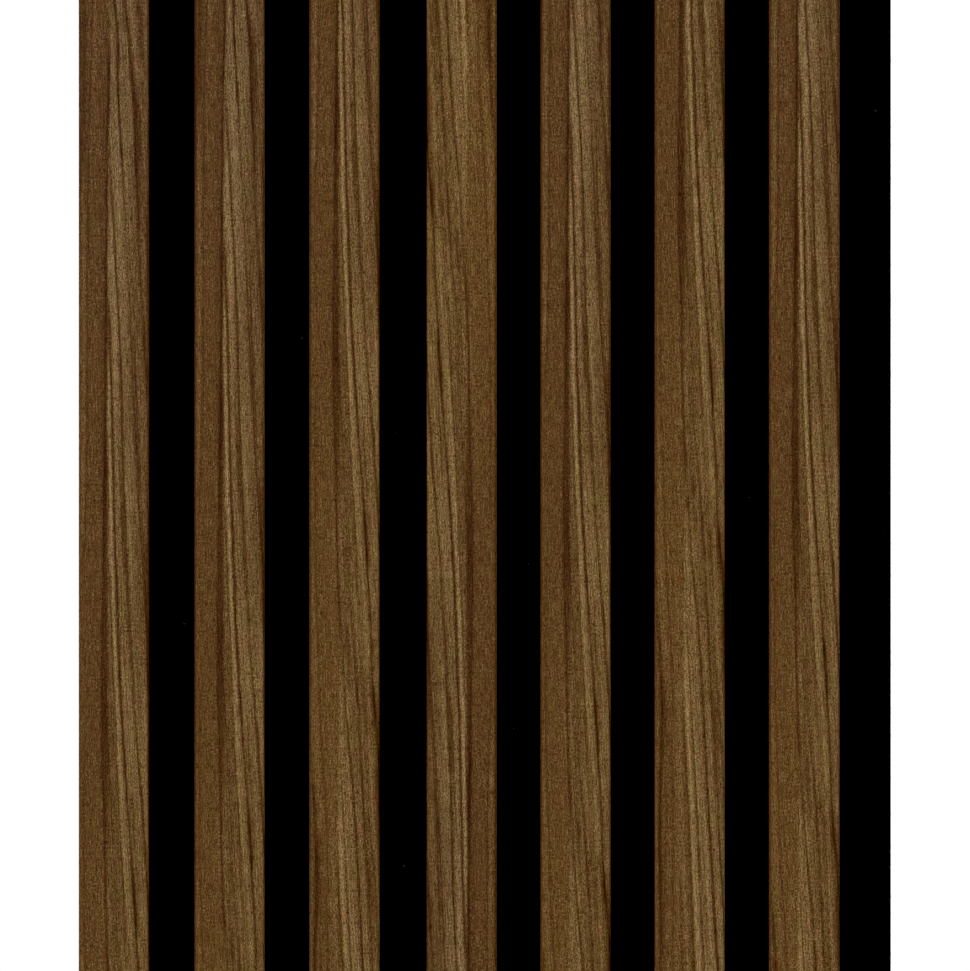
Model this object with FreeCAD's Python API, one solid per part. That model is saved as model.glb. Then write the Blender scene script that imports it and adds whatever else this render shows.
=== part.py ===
import FreeCAD, Part
import os

# Acoustic slat wall panel: walnut-wrapped fibreboard slats stapled to a black felt board.
# All sizes are millimetres. X runs across the panel, to the right as seen from the front.
# Z runs up, along the slats, and the front faces -Y.
# The origin is the middle of the back face, which lies flat against the wall.

# Panel
PANEL_LENGTH = 600.0
FELT_THICKNESS = 9.0
FELT_MARGIN = 19.0  # bare felt right of the last slat, where the next panel butts on

# Slats
SLAT_COUNT = 7
SLAT_WIDTH = 26.0  # over the wrap
SLAT_DEPTH = 12.0  # over the wrap, from the felt to the front
GROOVE_WIDTH = 16.5  # clear width between two slats
ARRIS_RADIUS = 1.2  # rounding of the two front edges, on the outside of the wrap
WRAP_THICKNESS = 0.5
# How far each slat lies to the right of its even place. The slats were laid by eye.
SLAT_DRIFT = (0.0, 0.25, 0.15, 0.95, 0.5, 0.15, -0.1)

# Staples, driven from behind through the felt into each slat
STAPLE_CROWN = 12.8  # outside width of the crown, across the slat
STAPLE_LENGTH = 16.0  # from the outside of the crown to the points
WIRE_WIDTH = 0.95
WIRE_THICKNESS = 0.65
BEND_RADIUS = 0.6  # outside of the two bends
CROWN_SINK = 0.35  # how deep the crown is pulled below the felt's back
STAPLE_SPACING = 130.0  # nearest even spacing of the rows
STAPLE_END = 40.0  # from the panel's ends to the outer rows

SLAT_PITCH = SLAT_WIDTH + GROOVE_WIDTH
FELT_WIDTH = SLAT_COUNT * SLAT_WIDTH + (SLAT_COUNT - 1) * GROOVE_WIDTH + FELT_MARGIN
FELT_LEFT = -FELT_WIDTH / 2
FELT_FRONT = -FELT_THICKNESS
PANEL_BOTTOM = -PANEL_LENGTH / 2


def point(x, y, z=0.0):
    return FreeCAD.Vector(x, y, z)


def line(start, end):
    return Part.LineSegment(start, end).toShape()


def closed_face(corners):
    """The flat face inside straight edges from corner to corner."""
    return Part.Face(Part.makePolygon(corners + corners[:1]))


def extrude_up(face, bottom, length):
    """The face, which lies in the XY plane, raised into a bar along Z."""
    bar = face.extrude(point(0, 0, length))
    bar.translate(point(0, 0, bottom))
    return bar


def slat_centre(index):
    """Where the middle of a slat lies across the panel. Index 0 is the left slat."""
    even_place = FELT_LEFT + SLAT_WIDTH / 2 + index * SLAT_PITCH
    return even_place + SLAT_DRIFT[index % len(SLAT_DRIFT)]


def slat_section(centre, inset):
    """A slat's cross-section on the felt, taken in from its outside by inset on the
    front and on both sides, with its two front corners rounded."""
    half = SLAT_WIDTH / 2 - inset
    left, right = centre - half, centre + half
    back, front = FELT_FRONT, FELT_FRONT - SLAT_DEPTH + inset
    radius = ARRIS_RADIUS - inset
    cut_in = radius * (1 - 0.5**0.5)
    left_arris = Part.Arc(
        point(left, front + radius),
        point(left + cut_in, front + cut_in),
        point(left + radius, front),
    )
    right_arris = Part.Arc(
        point(right - radius, front),
        point(right - cut_in, front + cut_in),
        point(right, front + radius),
    )
    edges = [
        line(point(left, back), point(left, front + radius)),
        left_arris.toShape(),
        line(point(left + radius, front), point(right - radius, front)),
        right_arris.toShape(),
        line(point(right, front + radius), point(right, back)),
        line(point(right, back), point(left, back)),
    ]
    return Part.Face(Part.Wire(edges))


def staple_rows():
    """The heights of the staple rows, evenly spaced between the two outer ones."""
    span = PANEL_LENGTH - 2 * STAPLE_END
    gaps = max(1, round(span / STAPLE_SPACING))
    return [PANEL_BOTTOM + STAPLE_END + row * span / gaps for row in range(gaps + 1)]


def leg_corners(centre, side):
    """The four corners of one leg's outline below the crown, from the crown's inner
    corner to the outside. The end is cut to a point on the leg's outer side."""
    outer = centre + side * STAPLE_CROWN / 2
    inner = outer - side * WIRE_THICKNESS
    tip = -CROWN_SINK - STAPLE_LENGTH
    return inner, outer, tip, tip + WIRE_THICKNESS


def staple(centre, height):
    """One wire staple with its crown across the slat and its legs towards the front."""
    crown_back = -CROWN_SINK
    crown_front = crown_back - WIRE_THICKNESS
    left_inner, left_outer, tip, heel = leg_corners(centre, -1)
    right_inner, right_outer, tip, heel = leg_corners(centre, 1)
    cut_in = BEND_RADIUS * (1 - 0.5**0.5)
    left_bend = Part.Arc(
        point(left_outer, crown_back - BEND_RADIUS),
        point(left_outer + cut_in, crown_back - cut_in),
        point(left_outer + BEND_RADIUS, crown_back),
    )
    right_bend = Part.Arc(
        point(right_outer - BEND_RADIUS, crown_back),
        point(right_outer - cut_in, crown_back - cut_in),
        point(right_outer, crown_back - BEND_RADIUS),
    )
    edges = [
        left_bend.toShape(),
        line(point(left_outer + BEND_RADIUS, crown_back), point(right_outer - BEND_RADIUS, crown_back)),
        right_bend.toShape(),
        line(point(right_outer, crown_back - BEND_RADIUS), point(right_outer, tip)),
        line(point(right_outer, tip), point(right_inner, heel)),
        line(point(right_inner, heel), point(right_inner, crown_front)),
        line(point(right_inner, crown_front), point(left_inner, crown_front)),
        line(point(left_inner, crown_front), point(left_inner, heel)),
        line(point(left_inner, heel), point(left_outer, tip)),
        line(point(left_outer, tip), point(left_outer, crown_back - BEND_RADIUS)),
    ]
    return extrude_up(Part.Face(Part.Wire(edges)), height - WIRE_WIDTH / 2, WIRE_WIDTH)


def staple_seat(centre, height):
    """The space one staple takes up: its two leg holes, and the dent of its crown,
    which is open to the felt's back."""
    crown_front = -CROWN_SINK - WIRE_THICKNESS
    left_inner, left_outer, tip, heel = leg_corners(centre, -1)
    right_inner, right_outer, tip, heel = leg_corners(centre, 1)
    corners = [
        point(left_outer, 0),
        point(right_outer, 0),
        point(right_outer, tip),
        point(right_inner, heel),
        point(right_inner, crown_front),
        point(left_inner, crown_front),
        point(left_inner, heel),
        point(left_outer, tip),
    ]
    return extrude_up(closed_face(corners), height - WIRE_WIDTH / 2, WIRE_WIDTH)


def slat_core(index, seats):
    """The bare fibreboard bar inside the wrap, with the blind holes of its staples."""
    section = slat_section(slat_centre(index), WRAP_THICKNESS)
    return extrude_up(section, PANEL_BOTTOM, PANEL_LENGTH).cut(seats)


def slat_wrap(index):
    """The walnut wrap: one sheet folded over the slat's front and down both its sides."""
    centre = slat_centre(index)
    section = slat_section(centre, 0).cut(slat_section(centre, WRAP_THICKNESS))
    return extrude_up(section.Faces[0], PANEL_BOTTOM, PANEL_LENGTH)


def felt_board(seats):
    """The felt board behind the slats, pierced by every staple."""
    corners = [
        point(FELT_LEFT, FELT_FRONT),
        point(-FELT_LEFT, FELT_FRONT),
        point(-FELT_LEFT, 0),
        point(FELT_LEFT, 0),
    ]
    return extrude_up(closed_face(corners), PANEL_BOTTOM, PANEL_LENGTH).cut(seats)


def save(name, shape):
    """Writes one piece. A cut leaves a compound, so a lone solid is taken out of it."""
    piece = shape.Solids[0] if len(shape.Solids) == 1 else shape
    piece.exportStep(os.path.join("parts", name + ".step"))


def main():
    os.makedirs("parts", exist_ok=True)
    all_seats = []
    all_staples = []
    for index in range(SLAT_COUNT):
        centre = slat_centre(index)
        seats = [staple_seat(centre, height) for height in staple_rows()]
        all_seats += seats
        all_staples += [staple(centre, height) for height in staple_rows()]
        save(f"slat_core_{index + 1}", slat_core(index, seats))
        save(f"walnut_wrap_{index + 1}", slat_wrap(index))
    save("felt_board", felt_board(all_seats))
    save("staples", Part.makeCompound(all_staples))


main()
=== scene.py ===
"""Acoustic slat wall panel: walnut print, fibreboard, needled felt and staples on the CAD frame."""

import math
import random

import bmesh
import bpy
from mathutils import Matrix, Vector, noise


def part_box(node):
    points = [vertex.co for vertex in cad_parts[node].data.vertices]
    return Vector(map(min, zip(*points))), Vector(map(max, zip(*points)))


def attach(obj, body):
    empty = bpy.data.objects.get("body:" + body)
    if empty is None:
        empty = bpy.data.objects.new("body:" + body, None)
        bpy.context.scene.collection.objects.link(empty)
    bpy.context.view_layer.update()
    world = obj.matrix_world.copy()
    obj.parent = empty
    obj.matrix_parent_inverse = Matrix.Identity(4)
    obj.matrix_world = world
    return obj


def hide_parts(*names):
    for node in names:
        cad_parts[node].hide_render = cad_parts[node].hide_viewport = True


bl_info = {
    "name": "Acoustic slat wall panel",
    "version": (1, 0, 0),
    "blender": (4, 5, 0),
    "location": "3D View > Sidebar > Slat panel",
    "description": "Dresses a slat wall panel in walnut print, fibreboard, felt and staple wire",
    "category": "Object",
}

MM = 0.001
X_WAY, Y_WAY, Z_WAY = Vector((1, 0, 0)), Vector((0, 1, 0)), Vector((0, 0, 1))
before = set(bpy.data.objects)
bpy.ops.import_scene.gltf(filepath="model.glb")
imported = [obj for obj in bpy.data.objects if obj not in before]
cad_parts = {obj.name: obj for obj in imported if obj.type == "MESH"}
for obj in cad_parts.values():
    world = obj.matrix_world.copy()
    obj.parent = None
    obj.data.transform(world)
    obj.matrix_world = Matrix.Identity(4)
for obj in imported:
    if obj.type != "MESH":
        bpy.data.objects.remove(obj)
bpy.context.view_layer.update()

# Places read from the frame, in metres
FELT_LOW, FELT_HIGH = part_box("felt_board")
SLAT_COUNT = sum(name.startswith("walnut_wrap_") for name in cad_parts)
SLAT_NUMBERS = range(1, SLAT_COUNT + 1)
SLAT_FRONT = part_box("walnut_wrap_1")[0].y


def slat_span(number):
    """Where a slat's left and right sides lie, in metres."""
    low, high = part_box(f"walnut_wrap_{number}")
    return low.x, high.x


# The walnut print. Along runs down the print and across runs from a slat's left arris
# to its right one, both in millimetres. The print carries on round both arrises.

# How far down the print each slat has the panel's middle, and how far the print lies off
# centre to the right. All the slats are wrapped in the same print, and slat 4 was turned
# end for end.
PRINT_PLACE = {
    1: (179.2, 0.0), 2: (201.3, 0.0), 3: (313.6, 0.26), 4: (288.1, -0.52), 5: (245.6, 0.0),
    6: (372.6, 0.26), 7: (266.3, 0.13),
}
TURNED_SLAT = 4
LIGHTEST = 3.2  # the palest speck's lightness, where the plain brown zone's is 1
LANE_GAP = 5.0  # least room along the print between two streaks that are worked out as one
PAST_END = LANE_GAP / 3  # how far each of the two runs on, without tone


class Streak:
    """One line or band of the print: its half width in millimetres, its course as points
    (along, across), and its tone as a power of e, where below 0 is darker. The tone is one
    number, which fades in and out over the fade, or points (along, tone)."""

    def __init__(self, half_width, tone, course, fade=12.0):
        start, end = course[0][0], course[-1][0]
        if not isinstance(tone, tuple):
            tone = ((start, 0.0), (start + fade, tone), (end - fade, tone), (end, 0.0))
        self.half_width = half_width
        self.tone = tone
        self.course = course

    def joined(self, later):
        """This streak and a later one of the same width, as one that fades out between."""
        (before_end, across_before), (end, across_end) = self.course[-2:]
        (start, across_start), (after_start, across_after) = later.course[:2]
        slope_out = (across_end - across_before) / (end - before_end)
        slope_in = (across_after - across_start) / (after_start - start)
        course = (
            *self.course,
            (end + PAST_END, across_end + slope_out * PAST_END),
            (start - PAST_END, across_start - slope_in * PAST_END),
            *later.course,
        )
        tone = (
            *self.tone,
            (self.tone[-1][0] + PAST_END, 0.0),
            (later.tone[0][0] - PAST_END, 0.0),
            *later.tone,
        )
        return Streak(self.half_width, tone, course)


def lanes(streaks):
    """Joins streaks of one width that follow each other along the print, which saves shading."""
    made = []
    for item in sorted(streaks, key=lambda streak: streak.course[0][0]):
        start = min(item.course[0][0], item.tone[0][0])
        for place, lane in enumerate(made):
            end = max(lane.course[-1][0], lane.tone[-1][0])
            if lane.half_width == item.half_width and end + LANE_GAP < start:
                made[place] = lane.joined(item)
                break
        else:
            made.append(item)
    return made


# Where the plain brown heart zone ends across the print, as points (along, across)
HEART_EDGE = (
    (-130, 12.0), (12, 11.2), (37, 10.7), (60, 10.0), (110, 10.2), (160, 10.4), (258, 10.6),
    (332, 10.4), (369, 10.9), (420, 10.2), (455, 10.7), (480, 11.8), (554, 14.6), (690, 20.5),
)

STREAKS = (
    # Along the two arrises the print is painted darker: painted shade where the rounded arrises turn
    # from the light, deeper on the right one, with some rubbing of the wrap
    Streak(0.66, ((-130, -0.75), (66, -0.75), (110, 0)), ((-130, 0.2), (110, 0))),
    Streak(0.4, ((60, 0), (110, -0.42), (440, -0.42), (482, 0.05)), ((60, 0), (482, 0))),
    Streak(0.95, ((-130, -0.45), (60, -0.45), (80, -0.62), (150, -0.62), (180, -0.45), (404, -0.45),
                  (424, -1.05), (446, -0.45), (490, -0.25), (690, -0.25)),
           ((-130, 26.2), (60, 26.1), (90, 25.7), (130, 25.7), (170, 26.1), (404, 26.1), (424, 25.8),
            (446, 26.1), (690, 26.2))),
    # Heart line, which leaves the heart at the print's middle, and the dark band in it
    Streak(0.5, ((14, 0), (26, -1), (60, -0.84), (124, -0.84), (142, -0.68), (162, -0.5),
                  (182, -0.7), (202, -0.44), (230, -0.62), (265, -0.56), (285, -0.72), (322, -0.62),
                  (342, -0.45), (356, -0.62), (368, -0.48), (382, -0.74), (404, -0.66), (422, -0.78),
                  (442, -1), (460, -1.1), (520, -1.1), (690, -0.95)),
           ((10, 11.1), (37, 11), (60, 10.5), (120, 10.1), (150, 9.9), (185, 9.4), (222, 8.9),
            (258, 8.6), (283, 8.9), (308, 9.6), (345, 10.2), (369, 11.4), (400, 13.5), (420, 15.5),
            (440, 16.7), (480, 18.9), (535, 22), (600, 26.2), (690, 32))),
    Streak(0.95, ((150, 0), (172, -0.62), (190, -0.52), (246, -0.44), (262, -0.6), (300, 0)),
           ((150, 10.2), (222, 10), (258, 9.9), (283, 10.2), (300, 10.6))),
    Streak(1.35, -0.16, ((266, 11.6), (284, 11.6), (306, 11.3), (330, 11.9)), 16),
    Streak(1.35, -0.15, ((0, 9.8), (60, 9.4), (140, 9), (200, 8)), 30),
    # Lines that fan out to the right of the heart line
    Streak(0.5, ((46, 0), (60, -0.58), (102, -0.6), (120, -0.86), (205, -0.86), (228, -0.56),
                  (260, -0.56), (290, -0.86), (480, -0.86)),
           ((36, 11.1), (60, 11.7), (71, 12.1), (86, 13.1), (100, 13.9), (129, 15.3), (166, 16.4),
            (185, 16.8), (205, 17.6), (258, 20.5), (289, 22.8), (320, 24.8), (345, 27), (480, 38))),
    Streak(0.5, ((-60, 0), (-48, -1), (12, -0.88), (32, -1.18), (56, -1.05), (74, -0.38),
                  (88, -0.22), (112, -0.38), (130, -0.62), (156, -0.6), (174, -0.38), (200, -0.42),
                  (216, -0.6), (320, -0.6)),
           ((-60, 9.3), (0, 13.2), (12, 14.3), (34, 14.6), (60, 16.1), (76, 16.8), (88, 17.7),
            (140, 19.9), (185, 22.1), (220, 24.6), (240, 25.3), (320, 27))),
    Streak(0.95, -0.38, ((-60, 8.6), (0, 12.7), (20, 13.7), (42, 14.3)), 20),
    Streak(0.95, -0.42, ((196, 24.4), (215, 25), (240, 25.5), (262, 25.9)), 16),
    Streak(0.66, ((-60, -0.9), (12, -0.82), (32, -1.1), (50, -1.3), (66, -0.9), (84, -0.75),
                  (96, -0.42), (114, -0.28), (126, -0.75), (140, -0.5), (152, 0)),
           ((-60, 11.8), (0, 17.1), (12, 18.4), (38, 20.4), (60, 21.2), (98, 22.6), (129, 24.3),
            (152, 25.8))),
    Streak(0.95, -0.5, ((-60, 15.4), (0, 21.9), (12, 22.8), (28, 24)), 14),
    Streak(0.95, -0.35, ((-60, 10.3), (0, 15.9), (25, 18.3)), 20),
    Streak(0.95, -0.42, ((24, 20.6), (45, 21.9), (72, 22.9)), 16),
    Streak(1.35, -0.26, ((46, 19.3), (80, 19.7), (115, 20.3)), 20),
    Streak(0.5, ((108, 0), (120, -0.9), (144, -0.82), (160, -1.06), (200, -0.84), (222, -0.92),
                  (245, -1.14), (285, -1.14), (312, -0.76), (336, -1.05), (352, -0.76), (378, -0.76),
                  (389, -1.05), (404, -0.88), (560, -0.88)),
           ((108, 10.9), (140, 12), (160, 12.6), (200, 13.4), (240, 14.8), (260, 15.7), (280, 16.9),
            (320, 19.6), (344, 21.1), (360, 22.1), (390, 23.4), (400, 24.3), (422, 26.4), (560, 38))),
    Streak(0.5, ((206, 0), (220, -0.6), (250, -0.74), (280, -0.62), (306, -0.48), (330, -0.38),
                  (352, -0.24), (400, -0.3), (412, 0)),
           ((206, 11.5), (240, 12.4), (262, 13.5), (300, 14.9), (340, 17.2), (380, 19.5), (412, 21.2))),
    Streak(0.66, -0.48, ((158, 15.1), (188, 15.7), (202, 16.2), (216, 16.9))),
    Streak(1.35, -0.28, ((180, 16.2), (205, 16.9), (222, 17.7), (244, 18.8))),
    Streak(0.95, -0.36, ((212, 14.7), (228, 15.2), (250, 16.1))),
    Streak(0.4, -0.4, ((106, 20), (122, 20.6), (160, 21.5), (185, 22.5))),
    Streak(0.4, -0.5, ((284, 19.3), (300, 20), (318, 21.2))),
    Streak(0.95, -0.4, ((320, 19.9), (332, 20.8), (348, 21.4)), 8),
    Streak(0.95, -0.26, ((338, 23.5), (360, 24.3), (382, 25.2)), 10),
    # Pale line, which keeps company with the lines beside it
    Streak(0.66, ((128, 0), (142, 0.34), (176, 0.44), (230, 0.42), (248, 0.62), (276, 0.58),
                  (300, 0.38), (326, 0.36), (346, 0.1), (402, 0.1), (432, 0.3), (460, 0.38),
                  (600, 0.22)),
           ((118, 10.9), (140, 11.2), (180, 11.6), (200, 12.1), (240, 13.2), (280, 14.7), (320, 17),
            (360, 19.5), (380, 20.7), (460, 24.8), (600, 38))),
    Streak(0.95, 0.22, ((70, 13), (90, 12), (100, 12.1), (112, 13.2), (140, 14))),
    Streak(0.66, 0.28, ((318, 8.9), (338, 9.2), (356, 9.9))),
    # Broad bands
    Streak(3.2, -0.38, ((-120, 21), (0, 23.6), (80, 23), (110, 22.4), (150, 22.2), (190, 23.2),
                         (240, 23.8), (268, 24.9)), 30),
    Streak(2.2, -0.4, ((238, 12.1), (285, 12.1), (308, 12.9), (345, 13.6), (372, 14.2), (400, 15.3)),
           30),
    Streak(2.2, -0.38, ((360, 17.2), (392, 19), (420, 20.4), (450, 22.2), (478, 23.8)), 26),
    Streak(2.2, -0.15, ((392, 13), (420, 14.2), (450, 15), (480, 16.2)), 14),
    Streak(5, -0.2, ((285, 20), (340, 21), (400, 23), (480, 24), (560, 25)), 40),
    Streak(0.95, -0.42, ((376, 22), (392, 22.7), (408, 24.2)), 10),
    Streak(2.2, -0.24, ((378, 24.8), (420, 25.2), (456, 24.4), (486, 24.2), (508, 24.8)), 24),
    Streak(0.95, -0.26, ((300, 15.4), (322, 15.9), (344, 16.6), (366, 17.6)), 14),
    Streak(1.35, -0.22, ((328, 13), (346, 13), (362, 13.6)), 10),
    Streak(0.95, -0.24, ((398, 15.9), (412, 16.4), (434, 17.4)), 10),
    Streak(0.95, -0.2, ((436, 18.1), (452, 18.7), (476, 19.9)), 12),
    Streak(1.35, -0.2, ((488, 15.6), (514, 17), (540, 18.1), (690, 26)), 16),
    # The brown zone's faint lines
    Streak(0.95, -0.46, ((-60, 2.2), (0, 2.1), (30, 1.9), (72, 1.5)), 20),
    Streak(0.4, -0.32, ((-60, 5.4), (20, 4.7), (43, 3.8), (100, 3.2), (185, 2.7), (215, 1.4))),
    Streak(0.66, ((-30, 0), (-10, 0.24), (26, 0.24), (38, 0), (54, 0), (70, 0.26), (190, 0.26),
                  (205, 0), (340, 0), (356, 0.16), (436, 0.16), (450, 0)),
           ((-30, 6.6), (0, 6), (36, 5.3), (56, 2.1), (100, 2.1), (185, 1.5), (205, 0.9),
            (335, 0.9), (380, 1.6), (405, 2.6), (450, 4.7))),
    Streak(0.4, -0.26, ((270, 2), (345, 2.1), (369, 2.9), (394, 3.5), (415, 4.6), (437, 6),
                         (480, 6.4), (553, 6.5), (690, 8))),
    Streak(0.66, ((415, 0), (428, -0.68), (458, -0.84), (478, -0.68), (500, -0.95), (524, -0.95),
                  (545, -0.6), (690, -0.6)),
           ((415, 0.6), (443, 2.1), (467, 2.3), (480, 1.8), (541, 1.9), (600, 1.2), (690, 1.5))),
    Streak(0.95, -0.3, ((440, 3.2), (460, 3.3), (478, 2.8))),
    Streak(0.95, 0.14, ((400, 7.8), (440, 8.2), (517, 8.5), (553, 8.4), (690, 10))),
    Streak(0.66, 0.26, ((442, 8.8), (480, 9.5), (500, 10), (545, 11.8), (600, 14))),
    Streak(0.5, -0.26, ((476, 4), (500, 3.9), (535, 3.1), (560, 2.8))),
    Streak(0.5, -0.28, ((512, 8.9), (535, 9.5), (560, 10.4), (620, 12.8))),
    # The next fan, below the first
    Streak(0.5, -0.54, ((448, 10.3), (461, 10.6), (480, 11.6), (517, 13.2), (554, 14.5), (620, 17.4),
                         (690, 20.5))),
    Streak(0.95, ((428, 0), (440, 0.3), (480, 0.26), (554, 0.18), (690, 0.18)),
           ((428, 10.6), (460, 11.6), (520, 14.3), (554, 15.7), (620, 18.6), (690, 21.7))),
    Streak(0.5, ((418, 0), (430, -0.25), (450, -0.26), (468, -0.62), (690, -0.62)),
           ((418, 11.4), (449, 12.9), (480, 14.6), (520, 16.4), (548, 17.6), (600, 20.4), (690, 25))),
    Streak(0.95, -0.34, ((358, 13.4), (378, 14.4), (412, 16))),
    Streak(0.5, ((320, 0), (348, -0.26), (372, -0.66), (690, -0.66)),
           ((320, 12.6), (340, 13.8), (380, 16.7), (420, 19), (480, 22.4), (520, 24.5), (560, 27),
            (690, 37))),
)


def colour_setting(name, description, default):
    """A colour that the user can change."""
    return bpy.props.FloatVectorProperty(
        name=name, description=description, subtype="COLOR", size=3, min=0.0, max=1.0, default=default,
    )


def length_setting(name, description, default, least=0.0):
    """A length that the user can change."""
    return bpy.props.FloatProperty(
        name=name, description=description, unit="LENGTH", min=least, default=default,
    )


class PanelSettings(bpy.types.PropertyGroup):
    """Sizes and colours that a user would change."""

    dark_tone: colour_setting("Dark lines", "Walnut print's darkest lines", (0.060, 0.0244, 0.0102))
    heart_tone: colour_setting("Heart zone", "Walnut print's brown zone", (0.116, 0.0575, 0.0180))
    olive_tone: colour_setting("Striped zone", "Print's darker striped part", (0.085, 0.0410, 0.0122))
    pale_tone: colour_setting("Pale zone", "Walnut print's pale lines", (0.228, 0.147, 0.0670))
    board_colour: colour_setting("Fibreboard", "Sawn board at the slats' ends", (0.30, 0.19, 0.105))
    felt_colour: colour_setting("Felt", "Black needled felt", (0.0058, 0.0058, 0.0061))
    wire_colour: colour_setting("Staple wire", "Galvanised wire", (0.58, 0.57, 0.54))
    dent_depth: length_setting("Staple dent", "How deep a staple pulls the felt in", 0.75 * MM)
    fibre_length: length_setting("Loose fibre", "Length of the felt's loose fibres", 3.0 * MM)
    fibre_radius: length_setting("Fibre radius", "Half the thickness of a loose fibre", 0.032 * MM)
    lint_colour: colour_setting("Lint", "Specks of lint caught on the felt", (0.20, 0.20, 0.19))
    camera_distance: length_setting("Camera distance", "From the camera to the slats' fronts", 8.0, 1.0)


def settings():
    return bpy.context.scene.slat_panel


def add_piece(name, mesh):
    """A new piece of the object, made of the mesh, that rides on the frame."""
    piece = bpy.data.objects.new(name, mesh)
    bpy.context.scene.collection.objects.link(piece)
    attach(piece, "root")
    return piece


def finished_mesh(build, name):
    """The mesh that was built, with its faces turned outward."""
    bmesh.ops.recalc_face_normals(build, faces=build.faces)
    mesh = bpy.data.meshes.new(name)
    build.to_mesh(mesh)
    build.free()
    return mesh


# Shader helpers
class Shader:
    """A node tree with short calls for the nodes that the materials share."""

    def __init__(self, tree):
        self.tree = tree

    def node(self, kind, **values):
        made = self.tree.nodes.new(kind)
        for key, value in values.items():
            setattr(made, key, value)
        return made

    def feed(self, socket, value):
        """Links the socket to another node's output, or sets it to a number."""
        if isinstance(value, bpy.types.NodeSocket):
            self.tree.links.new(value, socket)
        else:
            socket.default_value = value

    def feed_all(self, sockets, values):
        """Feeds every socket that the values name."""
        for name, value in values.items():
            self.feed(sockets[name], value)

    def maths(self, operation, first, second=0.0, third=0.0):
        made = self.node("ShaderNodeMath", operation=operation)
        for socket, value in zip(made.inputs, (first, second, third)):
            self.feed(socket, value)
        return made.outputs[0]

    def ranged(self, value, from_low, from_high, to_low, to_high, smooth=False):
        made = self.node("ShaderNodeMapRange")
        if smooth:
            made.interpolation_type = "SMOOTHSTEP"
        for socket, entry in zip(made.inputs, (value, from_low, from_high, to_low, to_high)):
            self.feed(socket, entry)
        return made.outputs[0]

    def vector(self, x, y, z):
        made = self.node("ShaderNodeCombineXYZ")
        for socket, value in zip(made.inputs, (x, y, z)):
            self.feed(socket, value)
        return made.outputs[0]

    def stretched(self, places, scales):
        """A vector whose coordinates are the places, each times its scale."""
        return self.vector(*[self.maths("MULTIPLY", *pair) for pair in zip(places, scales)])

    def grain(self, vector, scale, detail=2.0, roughness=0.5, distortion=0.0):
        """Noise between 0 and 1."""
        made = self.node("ShaderNodeTexNoise")
        self.feed_all(made.inputs, {
            "Vector": vector, "Scale": scale, "Detail": detail, "Roughness": roughness,
            "Distortion": distortion,
        })
        return made.outputs[0]

    def ramp(self, factor, stops):
        made = self.node("ShaderNodeValToRGB")
        elements = made.color_ramp.elements
        while len(elements) < len(stops):
            elements.new(0.5)
        for element, (place, colour) in zip(elements, stops):
            element.position = place
            element.color = (*colour, 1.0)
        self.feed(made.inputs[0], factor)
        return made.outputs[0]

    def mix(self, factor, first, second, blend="MIX"):
        """Two colours, blended."""
        made = self.node("ShaderNodeMix", data_type="RGBA", blend_type=blend)
        self.feed_all(made.inputs, {"Factor": factor, 6: first, 7: second})
        return made.outputs[2]

    def bump(self, height, distance, strength):
        made = self.node("ShaderNodeBump")
        self.feed_all(made.inputs, {"Strength": strength, "Distance": distance, "Height": height})
        return made.outputs[0]


def new_material(name):
    """A material with only a Principled shader, and its helper."""
    material = bpy.data.materials.new(name)
    material.use_nodes = True
    shader = Shader(material.node_tree)
    surface = material.node_tree.nodes["Principled BSDF"]
    return material, shader, surface


def toned(colour, factor):
    """The colour, that many times as light."""
    return tuple(factor * value for value in colour)


def shades(shader, place, colour, stops):
    """A ramp through shades of one colour, as stops (place, how many times as light)."""
    return shader.ramp(place, [(stop, toned(colour, factor)) for stop, factor in stops])


def paint(piece, material):
    """Puts the material in every slot of the piece."""
    mesh = piece.data
    if not mesh.materials:
        mesh.materials.append(material)
    for place in range(len(mesh.materials)):
        mesh.materials[place] = material
    for slot in piece.material_slots:
        slot.link = "DATA"


def new_group(name, numbers, results):
    """An empty node group that takes the named numbers and gives results, as {name: kind}."""
    tree = bpy.data.node_groups.new(name, "ShaderNodeTree")
    for socket in numbers:
        tree.interface.new_socket(socket, in_out="INPUT", socket_type="NodeSocketFloat")
    for socket, kind in results.items():
        tree.interface.new_socket(socket, in_out="OUTPUT", socket_type=kind)
    return tree


def object_point(shader):
    """The object's own coordinates in millimetres, as three sockets."""
    place = shader.node("ShaderNodeTexCoord").outputs["Object"]
    scaled = shader.node("ShaderNodeVectorMath", operation="SCALE")
    shader.feed_all(scaled.inputs, {0: place, "Scale": 1 / MM})
    split = shader.node("ShaderNodeSeparateXYZ")
    shader.feed(split.inputs[0], scaled.outputs[0])
    return split.outputs


# Walnut print
WAVER = 0.14  # millimetres that the lines waver to each side
FAN_SLOPE = 0.055  # how far the fine lines lean to the right for each millimetre down the print


def drawn_curve(shader, along, points, straight=False):
    """A curve drawn through points (along, value) and read at a place along the print.
    Before its first point and after its last one it stays level."""
    made = shader.node("ShaderNodeFloatCurve")
    made.mapping.use_clip = False
    made.mapping.extend = "HORIZONTAL"
    curve = made.mapping.curves[0]
    while len(curve.points) < len(points):
        curve.points.new(0.5, 0.5)
    for spot, place in zip(curve.points, points):
        spot.location = place
        spot.handle_type = "VECTOR" if straight else "AUTO"
    made.mapping.update()
    shader.feed(made.inputs["Value"], along)
    return made.outputs[0]


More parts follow.
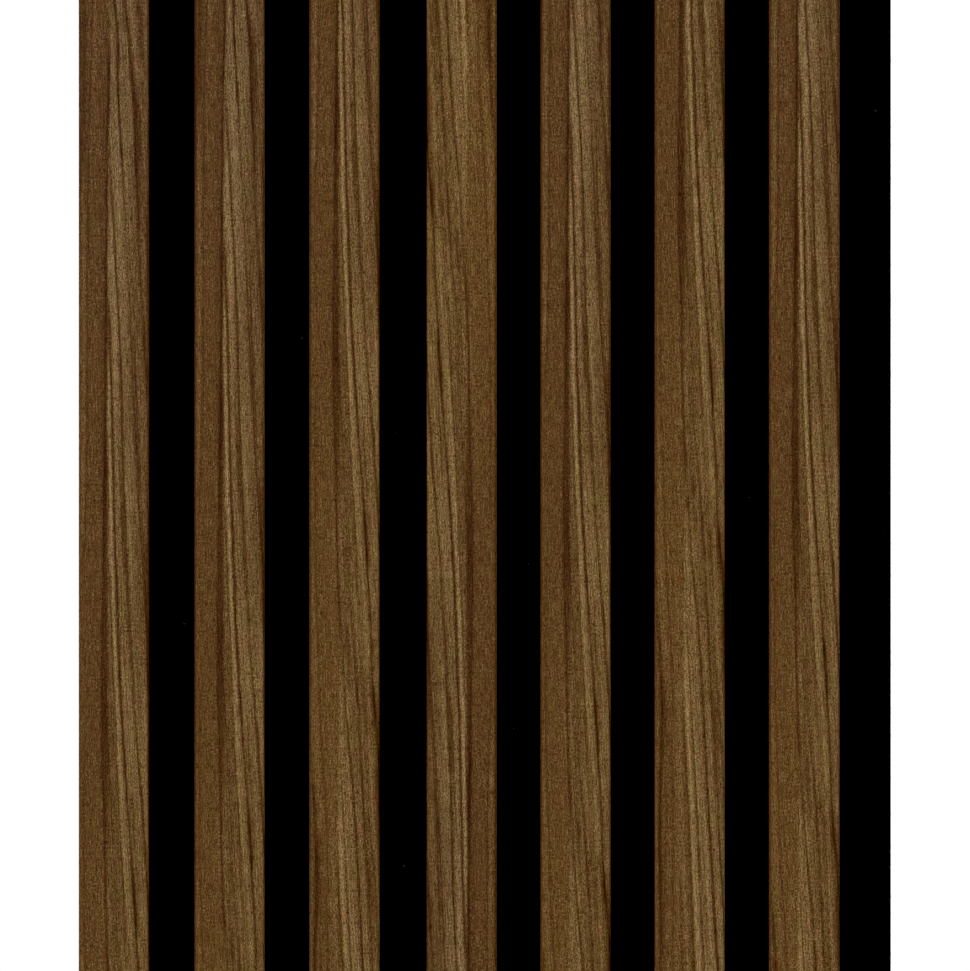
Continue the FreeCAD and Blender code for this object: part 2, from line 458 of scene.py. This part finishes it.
def streak_group():
    """A group that adds one streak's tone to the print's."""
    numbers = ("Tone so far", "Across", "Course", "Thinness", "Strength")
    tree = new_group("Streak", numbers, {"Tone": "NodeSocketFloat"})
    shader = Shader(tree)
    given = shader.node("NodeGroupInput").outputs
    off_course = shader.maths("SUBTRACT", given["Across"], given["Course"])
    share = shader.maths("MULTIPLY", off_course, given["Thinness"])
    bell = shader.maths("POWER", math.exp(-1), shader.maths("MULTIPLY", share, share))
    tone = shader.maths("MULTIPLY_ADD", bell, given["Strength"], given["Tone so far"])
    shader.feed(shader.node("NodeGroupOutput").inputs[0], tone)
    return tree


def streaks_tone(shader, across, along):
    """What all the streaks together add to the tone at a place on the print."""
    streak = streak_group()
    tone = 0.0
    for item in lanes(STREAKS):
        added = shader.node("ShaderNodeGroup", node_tree=streak)
        shader.feed_all(added.inputs, {
            "Tone so far": tone, "Across": across, "Thinness": 1 / item.half_width,
            "Course": drawn_curve(shader, along, item.course),
            "Strength": drawn_curve(shader, along, item.tone, straight=True),
        })
        tone = added.outputs["Tone"]
    return tone


def tone_colour(shader, lightness, heart, colours):
    """A ramp through the colours, each at its own lightness, on to the palest speck.
    Lightness is a share of the palest speck's, and the heart's colour is as light as 1."""
    stops = [(0.0, (0.0, 0.0, 0.0))]
    stops += [(colour[0] / heart[0] / LIGHTEST, colour) for colour in colours]
    stops.append((1.0, toned(colours[-1], LIGHTEST * heart[0] / colours[-1][0])))
    return shader.ramp(lightness, stops)


def print_group():
    """A group that gives the print's colour, with the painted shade along its arrises, and its pores at
    a place.
    """
    results = {"Colour": "NodeSocketColor", "Pores": "NodeSocketFloat"}
    tree = new_group("Walnut print", ("Across", "Along", "Seed"), results)
    shader = Shader(tree)
    given = shader.node("NodeGroupInput").outputs
    along, seed = given["Along"], given["Seed"]

    def streaky(sideways, across_scale, along_scale, layer, detail, roughness=0.5):
        """Noise that is drawn out along the print. Each layer has its own."""
        place = shader.stretched((sideways, along, layer), (across_scale, along_scale, 1.0))
        return shader.grain(place, 1.0, detail, roughness)

    # The lines waver a little
    slow = streaky(given["Across"], 0.12, 0.045, 3.0, 2.0)
    across = shader.maths("ADD", given["Across"], shader.ranged(slow, 0.3, 0.7, -WAVER, WAVER))

    # Plain brown left of the heart edge, paler and striped right of it
    edge = drawn_curve(shader, along, HEART_EDGE)
    striped = shader.ranged(shader.maths("SUBTRACT", across, edge), -0.5, 1.2, 0.0, 1.0, True)
    aged = shader.ranged(along, 240.0, 400.0, 0.0, 0.14, True)
    plain_tone = shader.maths("ADD", shader.ranged(striped, 0.0, 1.0, -0.03, 0.45), aged)

    # Each streak is stronger here and weaker there
    streaks = streaks_tone(shader, across, along)
    uneven = streaky(given["Across"], 0.6, 0.09, 5.0, 2.0)
    strength = shader.ranged(uneven, 0.3, 0.7, 0.75, 1.25)
    tone = shader.maths("MULTIPLY_ADD", streaks, strength, plain_tone)

    # Fine lines of the striped zone, which follow the fan
    fanned = shader.maths("SUBTRACT", across, shader.maths("MULTIPLY", along, FAN_SLOPE))
    fine = streaky(fanned, 1.5, 0.018, 7.0, 3.0, 0.6)
    fine_tone = shader.maths("MULTIPLY", shader.ranged(fine, 0.35, 0.65, -0.28, 0.23),
                             shader.ranged(striped, 0.0, 1.0, 0.45, 1.0))
    tone = shader.maths("ADD", tone, fine_tone)

    # Long fibres, pores and short specks, which differ from slat to slat
    fibre = streaky(given["Across"], 3.0, 0.17, seed, 3.0, 0.6)
    speck = streaky(given["Across"], 2.2, 1.35, seed, 1.0, 0.6)
    pore = streaky(given["Across"], 6.0, 0.5, seed, 1.0)
    tone = shader.maths("ADD", tone, shader.ranged(fibre, 0.3, 0.7, -0.47, 0.43))
    tone = shader.maths("ADD", tone, shader.ranged(pore, 0.54, 0.66, 0.0, -0.85))
    patchy = shader.maths("MULTIPLY", shader.ranged(speck, 0.3, 0.7, -0.52, 0.52),
                          shader.ranged(slow, 0.3, 0.7, 0.75, 1.25))
    tone = shader.maths("ADD", tone, patchy)

    # Lightness is 1 in the plain brown zone, which is redder than the striped zone
    lightness = shader.ranged(shader.maths("EXPONENT", tone), 0.0, LIGHTEST, 0.0, 1.0)
    chosen = settings()
    dark, heart, pale = chosen.dark_tone, chosen.heart_tone, chosen.pale_tone
    plain = tone_colour(shader, lightness, heart, (dark, heart, pale))
    lined = tone_colour(shader, lightness, heart, (dark, chosen.olive_tone, pale))
    colour = shader.mix(striped, plain, lined)
    # Redder here and more olive there
    mottle = streaky(given["Across"], 0.26, 0.09, 9.0, 2.0)
    hue = shader.ramp(mottle, (
        (0.38, (1.035, 0.965, 0.960)),
        (0.50, (1.0, 1.0, 1.0)),
        (0.62, (0.970, 1.020, 0.900)),
    ))
    # A little greyer at the print's start, and yellower further down
    drift = shader.ramp(shader.ranged(along, 0.0, 560.0, 0.0, 1.0), (
        (0.05, (0.99, 1.0, 1.09)),
        (0.25, (1.0, 1.0, 1.0)),
        (0.70, (1.0, 0.985, 0.88)),
        (0.90, (1.0, 0.99, 0.93)),
    ))
    for tint in (hue, drift):
        colour = shader.mix(1.0, colour, tint, "MULTIPLY")
    pores = shader.maths("MULTIPLY_ADD", pore, -0.7, fibre)
    shader.feed_all(shader.node("NodeGroupOutput").inputs, {"Colour": colour, "Pores": pores})
    return tree


def walnut_material(number, print_tree):
    """The walnut print as it lies on one slat, folded over its two arrises."""
    material, shader, surface = new_material(f"walnut_wrap_{number}")
    left, right = slat_span(number)
    x, y, z = object_point(shader)
    middle = (left + right) / 2 / MM
    half = (right - left) / 2 / MM
    away = shader.maths("SUBTRACT", x, middle)
    down_side = shader.maths("SUBTRACT", y, SLAT_FRONT / MM)
    unfolded = shader.maths("MULTIPLY_ADD", shader.maths("SIGN", away), down_side, away)
    start, off_centre = PRINT_PLACE[number]
    if number == TURNED_SLAT:
        across = shader.maths("SUBTRACT", half + off_centre, unfolded)
        along = shader.maths("ADD", z, start)
    else:
        across = shader.maths("ADD", unfolded, half - off_centre)
        along = shader.maths("SUBTRACT", start, z)
    walnut = shader.node("ShaderNodeGroup", node_tree=print_tree)
    shader.feed_all(walnut.inputs, {"Across": across, "Along": along, "Seed": 11.0 * number})
    pores = walnut.outputs["Pores"]
    shader.feed_all(surface.inputs, {
        "Base Color": walnut.outputs["Colour"],
        "Roughness": shader.ranged(pores, -0.1, 0.4, 0.84, 0.66),
        "Specular IOR Level": 0.12,
        "Normal": shader.bump(pores, 0.06 * MM, 0.5),
    })
    return material


class SLATPANEL_OT_wrap_slats(bpy.types.Operator):
    """Lay the walnut print over every slat's wrap"""

    bl_idname = "slatpanel.wrap_slats"
    bl_label = "Walnut wraps"

    def execute(self, context):
        print_tree = print_group()
        for number in SLAT_NUMBERS:
            paint(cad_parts[f"walnut_wrap_{number}"], walnut_material(number, print_tree))
        return {"FINISHED"}


# Slat cores
def fibreboard_material():
    """Sawn fibreboard: matted fibres, paler and darker, with the marks of the saw."""
    material, shader, surface = new_material("slat_fibreboard")
    x, y, z = object_point(shader)
    matted = shader.grain(shader.vector(x, y, z), 1.6, 5.0, 0.7, 0.6)
    flecks = shader.grain(shader.stretched((x, y, z), (0.5, 1.0, 1.0)), 5.0, 2.0, 0.6)
    mixed = shader.maths("MULTIPLY_ADD", flecks, 0.4, shader.maths("MULTIPLY", matted, 0.6))
    base = settings().board_colour
    # The saw's marks lean a little across the cut
    leaning = shader.maths("MULTIPLY_ADD", y, 0.3, x)
    saw_marks = shader.maths("SINE", shader.maths("MULTIPLY", leaning, 6.0))
    height = shader.maths("MULTIPLY_ADD", saw_marks, 0.08, mixed)
    shader.feed_all(surface.inputs, {
        "Base Color": shades(shader, mixed, base, ((0.30, 0.55), (0.50, 1.0), (0.68, 1.35))),
        "Roughness": shader.ranged(matted, 0.3, 0.7, 0.95, 0.8),
        "Specular IOR Level": 0.2,
        "Normal": shader.bump(height, 0.15 * MM, 0.8),
    })
    return material


class SLATPANEL_OT_core_slats(bpy.types.Operator):
    """Give the slats' cores their sawn fibreboard"""

    bl_idname = "slatpanel.core_slats"
    bl_label = "Fibreboard cores"

    def execute(self, context):
        material = fibreboard_material()
        for number in SLAT_NUMBERS:
            paint(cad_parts[f"slat_core_{number}"], material)
        return {"FINISHED"}


# Felt
def felt_material():
    """Needled felt: fibres that cross each other, needle marks, and cloudy patches."""
    material, shader, surface = new_material("black_felt")
    x, y, z = object_point(shader)
    curl = shader.grain(shader.vector(x, y, z), 0.3, 1.0)

    def fibres(slope, bend):
        """Fine fibres that lean by the slope from the board's length and bend with the curl."""
        sideways = shader.maths("MULTIPLY_ADD", curl, bend, shader.maths("MULTIPLY_ADD", z, slope, x))
        forward = shader.maths("MULTIPLY_ADD", x, -slope, z)
        return shader.grain(shader.stretched((sideways, y, forward), (3.6, 3.4, 0.4)), 1.0, 2.0, 0.65)

    lengthways = fibres(0.35, 4.0)
    slanted = shader.maths("MAXIMUM", fibres(-0.8, -5.0), fibres(2.0, 6.0))
    crossed = shader.maths("MAXIMUM", lengthways, slanted)
    clouds = shader.grain(shader.vector(x, y, z), 0.08, 2.0, 0.6)
    lumps = shader.grain(shader.vector(x, y, z), 0.55, 1.0, 0.6)
    needles = shader.node("ShaderNodeTexVoronoi", voronoi_dimensions="2D")
    flat = shader.vector(x, z, 0.0)
    shader.feed_all(needles.inputs, {"Vector": flat, "Scale": 0.42, "Randomness": 0.75})
    pits = shader.ranged(needles.outputs["Distance"], 0.0, 0.34, 1.0, 0.0, True)
    cloudy = shader.maths("MULTIPLY_ADD", shader.maths("SUBTRACT", clouds, 0.5), 0.16, crossed)
    # The needle pits are drawn a little darker: painted shade in the pits
    tone_with_pit_shade = shader.maths("MULTIPLY_ADD", pits, -0.08, cloudy)
    piled = shader.maths("MULTIPLY_ADD", lumps, 0.9, shader.maths("MULTIPLY", crossed, 0.8))
    height = shader.maths("MULTIPLY_ADD", pits, -0.55, piled)
    stops = ((0.42, 0.45), (0.56, 1.0), (0.68, 1.7), (0.80, 3.0))
    shader.feed_all(surface.inputs, {
        "Base Color": shades(shader, tone_with_pit_shade, settings().felt_colour, stops),
        "Roughness": shader.ranged(crossed, 0.4, 0.8, 1.0, 0.82),
        "Specular IOR Level": 0.06,
        "Sheen Weight": 0.02,
        "Sheen Roughness": 0.6,
        "Normal": shader.bump(height, 0.55 * MM, 0.9),
    })
    return material


# The felt's mesh, across and then up the board: how wide its cells are, how wide near a
# staple's middle, and how far from it that holds
WIDE_STEP = (2.8 * MM, 3.4 * MM)
FINE_STEP = (1.0 * MM, 0.8 * MM)
FINE_REACH = (9.5 * MM, 5.0 * MM)
SLIVER = 0.3  # a last cell narrower than this share of a fine one joins the cell before it
ROW_REACH = 5.0  # millimetres up and down from a staple row within which its staples lie
CROWN_BAND = 0.1 * MM  # how far below the rearmost point a crown's back still counts as such
CROWN_END = 0.4 * MM  # how far inside a crown's end its dent begins to fade
DENT_SPREAD = 2.6 * MM  # how far round a staple the felt is pulled in
DENT_REACH = 4 * DENT_SPREAD  # no dent is left this far from a staple
# How uneven the felt's skin and its cut edges are, and how fine, in lumps to a metre
SKIN_DEPTH, SKIN_LUMPS = 0.16 * MM, 180.0
EDGE_DEPTH, EDGE_LUMPS = 0.18 * MM, 260.0
EDGE_CELLS = 4  # from the felt's front to its back


def staple_crowns():
    """The middle of every staple's crown and its half length, read from the frame."""
    corners = [vertex.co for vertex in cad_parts["staples"].data.vertices]
    rear = max(corner.y for corner in corners)
    heights = []
    for height in sorted({round(corner.z / MM) for corner in corners if corner.y > rear - CROWN_BAND}):
        if not heights or height - heights[-1] > ROW_REACH:
            heights.append(height)
    crowns = []
    for number in SLAT_NUMBERS:
        left, right = slat_span(number)
        middle = (left + right) / 2
        for height in heights:
            near = [corner for corner in corners
                    if abs(corner.z / MM - height) < ROW_REACH and left < corner.x < right]
            half_length = max(abs(corner.x - middle) for corner in near)
            true_height = (min(corner.z for corner in near) + max(corner.z for corner in near)) / 2
            crowns.append((middle, true_height, half_length))
    return crowns


def spaced_lines(low, high, axis, fine_places):
    """Places from low to high for the felt's cells, closer together near the fine places."""
    places = [low]
    while places[-1] < high - 1e-9:
        ahead = places[-1] + FINE_STEP[axis]
        near = any(abs(ahead - spot) < FINE_REACH[axis] for spot in fine_places)
        step = FINE_STEP[axis] if near else WIDE_STEP[axis]
        places.append(min(high, places[-1] + step))
    if len(places) > 2 and places[-1] - places[-2] < SLIVER * FINE_STEP[axis]:
        del places[-2]
    return places


def felt_depth(x, z, crowns, dent_depth):
    """How far the felt's back is pulled in at a place, near the staples."""
    deepest = 0.0
    for middle, height, half_length in crowns:
        if abs(z - height) > DENT_REACH:
            continue
        off_x = max(0.0, abs(x - middle) - half_length + CROWN_END)
        distance = math.hypot(off_x, z - height)
        deepest = max(deepest, dent_depth * math.exp(-((distance / DENT_SPREAD) ** 2)))
    return deepest


def sunk(spot, outward, depth, lumps):
    """The spot, moved into the board by up to the depth, so that the surface is uneven."""
    share = noise.noise(spot * lumps) * 0.5 + 0.5
    return spot - outward * (share * depth)


def felt_mesh():
    """The felt board's outside, with its back pulled in round every staple."""
    crowns = staple_crowns()
    dent_depth = settings().dent_depth
    low, high = FELT_LOW, FELT_HIGH
    columns = spaced_lines(low.x, high.x, 0, {crown[0] for crown in crowns})
    rows = spaced_lines(low.z, high.z, 1, {crown[1] for crown in crowns})
    build = bmesh.new()

    def sheet(y, outward, dented):
        grid = []
        for z in rows:
            line = []
            for x in columns:
                spot = sunk(Vector((x, y, z)), outward, SKIN_DEPTH, SKIN_LUMPS)
                if dented:
                    spot.y -= felt_depth(x, z, crowns, dent_depth)
                line.append(build.verts.new(spot))
            grid.append(line)
        return grid

    back = sheet(high.y, Y_WAY, True)
    front = sheet(low.y, -Y_WAY, False)
    for grid, turned in ((back, True), (front, False)):
        for lower, upper in zip(grid, grid[1:]):
            for a, b, c, d in zip(lower, lower[1:], upper[1:], upper):
                build.faces.new((d, c, b, a) if turned else (a, b, c, d))

    def border(grid):
        """A sheet's outer points, once round from its lower left corner."""
        right_side = [line[-1] for line in grid[:-1]]
        left_side = [line[0] for line in grid[:0:-1]]
        return grid[0][:-1] + right_side + grid[-1][:0:-1] + left_side

    # The four cut edges are one closed strip, with rows of points between the sheets
    wide, tall = len(columns) - 1, len(rows) - 1
    ways = [-Z_WAY] * wide + [X_WAY] * tall + [Z_WAY] * wide + [-X_WAY] * tall
    front_border, back_border = border(front), border(back)
    rings = [front_border]
    for step in range(1, EDGE_CELLS):
        ring = []
        for start, end, outward in zip(front_border, back_border, ways):
            spot = start.co.lerp(end.co, step / EDGE_CELLS)
            ring.append(build.verts.new(sunk(spot, outward, EDGE_DEPTH, EDGE_LUMPS)))
        rings.append(ring)
    rings.append(back_border)
    for lower, upper in zip(rings, rings[1:]):
        for place in range(len(lower)):
            build.faces.new((lower[place - 1], lower[place], upper[place], upper[place - 1]))

    mesh = finished_mesh(build, "needled_felt")
    for face in mesh.polygons:
        face.use_smooth = True
    return mesh


class SLATPANEL_OT_felt_board(bpy.types.Operator):
    """Lay the needled felt board, dented where the staples pull it in"""

    bl_idname = "slatpanel.felt_board"
    bl_label = "Felt board"

    def execute(self, context):
        felt = add_piece("needled_felt", felt_mesh())
        paint(felt, felt_material())
        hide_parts("felt_board")
        return {"FINISHED"}


# Loose fibres and lint
FIBRE_ROOT = 0.12 * MM  # how deep a loose fibre's ends sit in the felt
FIBRE_STEPS = 6  # straight runs in a loose fibre
PATCH_EDGE = 0.1 * MM  # how far a loose fibre keeps from the edge of its patch
# How many loose fibres lie on the back, on a long edge, on an end and in a groove, and how
# high they may stand
BACK_FIBRES, EDGE_FIBRES, END_FIBRES, GROOVE_FIBRES = 1500, 260, 240, 110
BACK_LIFT, EDGE_LIFT, END_LIFT, GROOVE_LIFT = 0.30 * MM, 0.10 * MM, 0.30 * MM, 0.35 * MM
FIBRE_TURN = 2.2  # the most a loose fibre turns to either side, in radians
THREAD_SIDES = 3
THREAD_END = 0.45  # a thread's radius at its two ends, as a share of its full one
ASKEW = Vector((0.31, 0.87, 0.42))  # a direction that no thread has, to find its sides with
LINT_HAIRS = 5  # in each speck of lint
# Specks of lint on the felt in the grooves and on the margin: across and up the panel in
# millimetres, and how large each is. The first nine show in the photograph.
LINT = (
    (-111.1, -51.2, 0.7), (-67.9, 54.5, 0.5), (-37.5, 125.1, 0.5), (-33.1, 19.4, 0.5),
    (-30.1, -140.7, 0.9), (16.4, -29.0, 0.6), (10.5, -89.7, 0.5), (97.8, -4.6, 0.6),
    (144.4, 138.5, 0.5), (-112.6, 236.0, 1.1), (-70.2, -252.4, 0.9), (-24.4, 214.0, 0.8),
    (54.0, -226.5, 1.2), (99.3, 262.1, 0.8), (139.2, -198.7, 1.0),
)


def add_thread(build, spots, radius):
    """Adds a thin three-sided thread that runs through the spots and narrows to its ends."""
    last = len(spots) - 1
    rings = []
    for place, spot in enumerate(spots):
        ahead = spots[min(place + 1, last)] - spots[max(place - 1, 0)]
        side = ahead.cross(ASKEW).normalized()
        up = ahead.cross(side).normalized()
        reach = radius * (THREAD_END if place in (0, last) else 1.0)
        ring = []
        for turn in range(THREAD_SIDES):
            angle = math.tau * turn / THREAD_SIDES
            ring.append(build.verts.new(spot + reach * (math.cos(angle) * side + math.sin(angle) * up)))
        rings.append(ring)
    for lower, upper in zip(rings, rings[1:]):
        for turn in range(THREAD_SIDES):
            after = (turn + 1) % THREAD_SIDES
            build.faces.new((lower[turn], lower[after], upper[after], upper[turn]))
    build.faces.new(rings[0][::-1])
    build.faces.new(rings[-1])


def curled_spots(draw, start, across, along, outward, length, lift):
    """Points of one loose fibre, which leaves a surface, curls along it and goes back in.
    Start is on the surface, and across, along and outward are its directions."""
    heading = draw.uniform(0.0, math.tau)
    turning = draw.uniform(-FIBRE_TURN, FIBRE_TURN)
    spot = start.copy()
    spots = []
    for step in range(FIBRE_STEPS + 1):
        share = step / FIBRE_STEPS
        height = lift * math.sin(math.pi * share) - FIBRE_ROOT
        spots.append(spot + outward * height)
        angle = heading + turning * share
        spot = spot + (length / FIBRE_STEPS) * (math.cos(angle) * across + math.sin(angle) * along)
    return spots


def kept_on(spot, corner, opposite, outward):
    """The spot, moved back over its patch where it ran past the patch's sides."""
    moved = spot.copy()
    for axis in range(3):
        if abs(outward[axis]) < 0.5:
            moved[axis] = min(max(spot[axis], corner[axis] + PATCH_EDGE), opposite[axis] - PATCH_EDGE)
    return moved


def fibre_mesh():
    """Loose fibres over the felt's back, its four cut edges, its bare margin and the grooves."""
    sizes = settings()
    draw = random.Random(41)
    low, high = FELT_LOW, FELT_HIGH
    spans = [slat_span(number) for number in SLAT_NUMBERS]
    grooves = [(before[1], after[0]) for before, after in zip(spans, spans[1:])]
    grooves.append((spans[-1][1], high.x))
    # Each patch: its low corner, its high corner, outward direction, how many and how high
    patches = [
        (Vector((low.x, high.y, low.z)), high, Y_WAY, BACK_FIBRES, BACK_LIFT),
        (low, Vector((low.x, high.y, high.z)), -X_WAY, EDGE_FIBRES, EDGE_LIFT),
        (Vector((high.x, low.y, low.z)), high, X_WAY, EDGE_FIBRES, EDGE_LIFT),
        (low, Vector((high.x, high.y, low.z)), -Z_WAY, END_FIBRES, END_LIFT),
        (Vector((low.x, low.y, high.z)), high, Z_WAY, END_FIBRES, END_LIFT),
    ]
    for left, right in grooves:
        corner, opposite = Vector((left, low.y, low.z)), Vector((right, low.y, high.z))
        patches.append((corner, opposite, -Y_WAY, GROOVE_FIBRES, GROOVE_LIFT))
    build = bmesh.new()
    for corner, opposite, outward, count, lift in patches:
        across, along = [way for way in (X_WAY, Y_WAY, Z_WAY) if abs(way.dot(outward)) < 0.5]
        for _ in range(count):
            start = Vector([draw.uniform(a, b) for a, b in zip(corner, opposite)])
            length = draw.uniform(0.5, 1.5) * sizes.fibre_length
            rise = draw.uniform(0.3, 1.0) * lift
            spots = curled_spots(draw, start, across, along, outward, length, rise + FIBRE_ROOT)
            kept = [kept_on(spot, corner, opposite, outward) for spot in spots]
            add_thread(build, kept, sizes.fibre_radius)
    return finished_mesh(build, "loose_fibres")


def lint_mesh():
    """Small tufts of a few short curled hairs, which lie on the felt's front."""
    draw = random.Random(17)
    build = bmesh.new()
    for x, z, size in LINT:
        for _ in range(LINT_HAIRS):
            offset = Vector((draw.uniform(-0.15, 0.15), 0.0, draw.uniform(-0.15, 0.15))) * size * MM
            start = Vector((x * MM, FELT_LOW.y, z * MM)) + offset
            length = draw.uniform(0.5, 1.1) * size * MM
            spots = curled_spots(draw, start, X_WAY, Z_WAY, -Y_WAY, length, 0.45 * size * MM)
            add_thread(build, spots, 0.045 * size * MM)
    return finished_mesh(build, "lint")


def hair_material(name, colour, spread):
    """A fibre's colour, which drifts along it, with a faint roughness of its skin."""
    material, shader, surface = new_material(name)
    x, y, z = object_point(shader)
    drift = shader.grain(shader.vector(x, y, z), 0.9, 2.0)
    skin = shader.grain(shader.vector(x, y, z), 14.0, 2.0)
    stops = ((0.36, 1 / spread), (0.52, 1.0), (0.66, spread))
    shader.feed_all(surface.inputs, {
        "Base Color": shades(shader, drift, colour, stops),
        "Roughness": shader.ranged(skin, 0.3, 0.7, 0.9, 0.65),
        "Specular IOR Level": 0.15,
        "Normal": shader.bump(skin, 0.01 * MM, 0.4),
    })
    return material


class SLATPANEL_OT_loose_fibres(bpy.types.Operator):
    """Scatter loose fibres over the felt"""

    bl_idname = "slatpanel.loose_fibres"
    bl_label = "Loose fibres"

    def execute(self, context):
        fibres = add_piece("loose_fibres", fibre_mesh())
        paint(fibres, hair_material("loose_fibre", settings().felt_colour, 1.7))
        return {"FINISHED"}


class SLATPANEL_OT_lint(bpy.types.Operator):
    """Drop the specks of lint on the felt"""

    bl_idname = "slatpanel.lint"
    bl_label = "Lint"

    def execute(self, context):
        lint = add_piece("lint", lint_mesh())
        paint(lint, hair_material("lint", settings().lint_colour, 1.4))
        return {"FINISHED"}


# Staples
def wire_material():
    """Drawn galvanised wire, faintly lined along the wire and dulled in patches."""
    material, shader, surface = new_material("staple_wire")
    base = settings().wire_colour
    x, y, z = object_point(shader)
    drawn = shader.grain(shader.stretched((x, y, z), (0.4, 0.4, 9.0)), 1.0, 2.0)
    dull = shader.grain(shader.vector(x, y, z), 0.8, 3.0, 0.6)
    shader.feed_all(surface.inputs, {
        "Base Color": shades(shader, dull, base, ((0.35, 0.72), (0.55, 1.0), (0.70, 1.2))),
        "Metallic": 1.0,
        "Roughness": shader.ranged(dull, 0.3, 0.7, 0.5, 0.32),
        "Normal": shader.bump(drawn, 0.03 * MM, 0.5),
    })
    return material


class SLATPANEL_OT_staples(bpy.types.Operator):
    """Give the staples their galvanised wire"""

    bl_idname = "slatpanel.staples"
    bl_label = "Staples"

    def execute(self, context):
        paint(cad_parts["staples"], wire_material())
        return {"FINISHED"}


# Stage
AMBIENT = 0.22  # strength of the even light from all round
BACKDROP = 1.05  # strength of the white that the camera sees behind the panel
PHOTO_SHARE = 358.43 * MM  # what the photograph's frame shows of the slats' fronts
SENSOR = 36.0  # width of the camera's sensor, in millimetres
PRINT_BLACK = 0.010  # anything darker prints as black, as in a studio photograph
FLOOR_RADIUS, FLOOR_SIDES = 3.5, 96  # metres, and the corners of its round outline
# Each light: where it stands, what it is aimed at, its size in metres, its power in watts
# and how wide it fans out in degrees
LIGHTS = {
    "key": ((-1.15, -3.1, 1.2), (0, 0, 0), 1.1, 78.0, 180.0),
    "back_fill": ((1.6, 2.6, 1.2), (0, 0, 0), 2.0, 190.0, 180.0),
    # Narrow and low, behind the panel: they reach its two long edges but not its front
    "left_fill": ((-2.1, 1.3, 0.05), (0, 0, 0.02), 0.5, 1.6, 32.0),
    "right_fill": ((2.1, 1.3, 0.05), (0, 0, 0.02), 0.5, 1.6, 32.0),
}


def area_light(name, place, target, size, power, spread):
    """A soft square light at a place, aimed at the target, that fans out by the spread."""
    light = bpy.data.lights.new(name, "AREA")
    light.spread = math.radians(spread)
    light.size = size
    light.energy = power
    lamp = bpy.data.objects.new(name, light)
    bpy.context.scene.collection.objects.link(lamp)
    lamp.location = place
    lamp.rotation_euler = (Vector(target) - Vector(place)).to_track_quat("-Z", "Y").to_euler()


def pale_floor():
    """A wide round floor under the panel's lower end."""
    build = bmesh.new()
    bmesh.ops.create_circle(build, cap_ends=True, segments=FLOOR_SIDES, radius=FLOOR_RADIUS)
    mesh = bpy.data.meshes.new("floor")
    build.to_mesh(mesh)
    build.free()
    floor = bpy.data.objects.new("floor", mesh)
    floor.location.z = FELT_LOW.z
    bpy.context.scene.collection.objects.link(floor)
    material, shader, surface = new_material("pale_floor")
    shader.feed_all(surface.inputs, {
        "Base Color": (0.82, 0.82, 0.81, 1.0), "Roughness": 0.9, "Specular IOR Level": 0.1,
    })
    mesh.materials.append(material)


def studio_world():
    """White behind the panel, and a dimmer even light on it."""
    world = bpy.data.worlds.new("studio")
    bpy.context.scene.world = world
    world.use_nodes = True
    shader = Shader(world.node_tree)
    seen = shader.node("ShaderNodeLightPath").outputs["Is Camera Ray"]
    strength = shader.ranged(seen, 0.0, 1.0, AMBIENT, BACKDROP)
    background = world.node_tree.nodes["Background"]
    shader.feed_all(background.inputs, {"Color": (1.0, 1.0, 1.0, 1.0), "Strength": strength})


class SLATPANEL_OT_stage(bpy.types.Operator):
    """Set up the pale floor, the studio light and the camera"""

    bl_idname = "slatpanel.stage"
    bl_label = "Stage"

    def execute(self, context):
        scene = context.scene
        distance = settings().camera_distance
        camera_data = bpy.data.cameras.new("camera")
        camera_data.sensor_width = SENSOR
        camera_data.lens = SENSOR * distance / PHOTO_SHARE
        camera_data.clip_end = 100.0
        camera = bpy.data.objects.new("camera", camera_data)
        scene.collection.objects.link(camera)
        camera.location = (0.0, SLAT_FRONT - distance, 0.0)
        camera.rotation_euler = (math.radians(90), 0.0, 0.0)
        scene.camera = camera
        pale_floor()
        studio_world()
        for name, values in LIGHTS.items():
            area_light(name, *values)
        scene.view_settings.view_transform = "Standard"
        scene.view_settings.use_curve_mapping = True
        scene.view_settings.curve_mapping.black_level = (PRINT_BLACK, PRINT_BLACK, PRINT_BLACK)
        return {"FINISHED"}


class SLATPANEL_PT_sidebar(bpy.types.Panel):
    """Lists the panel's pieces in the order in which they are made"""

    bl_label = "Slat panel"
    bl_idname = "SLATPANEL_PT_sidebar"
    bl_space_type = "VIEW_3D"
    bl_region_type = "UI"
    bl_category = "Slat panel"

    def draw(self, context):
        column = self.layout.column()
        for name in PanelSettings.__annotations__:
            column.prop(context.scene.slat_panel, name)
        for operator in OPERATORS:
            column.operator(operator.bl_idname)


OPERATORS = (
    SLATPANEL_OT_wrap_slats,
    SLATPANEL_OT_core_slats,
    SLATPANEL_OT_felt_board,
    SLATPANEL_OT_loose_fibres,
    SLATPANEL_OT_lint,
    SLATPANEL_OT_staples,
    SLATPANEL_OT_stage,
)
CLASSES = (PanelSettings, *OPERATORS, SLATPANEL_PT_sidebar)


def register():
    for each in CLASSES:
        bpy.utils.register_class(each)
    bpy.types.Scene.slat_panel = bpy.props.PointerProperty(type=PanelSettings)


def unregister():
    del bpy.types.Scene.slat_panel
    for each in reversed(CLASSES):
        bpy.utils.unregister_class(each)


def main():
    register()
    bpy.ops.slatpanel.wrap_slats()
    bpy.ops.slatpanel.core_slats()
    bpy.ops.slatpanel.felt_board()
    bpy.ops.slatpanel.loose_fibres()
    bpy.ops.slatpanel.lint()
    bpy.ops.slatpanel.staples()
    bpy.ops.slatpanel.stage()


if __name__ == "__main__":
    main()
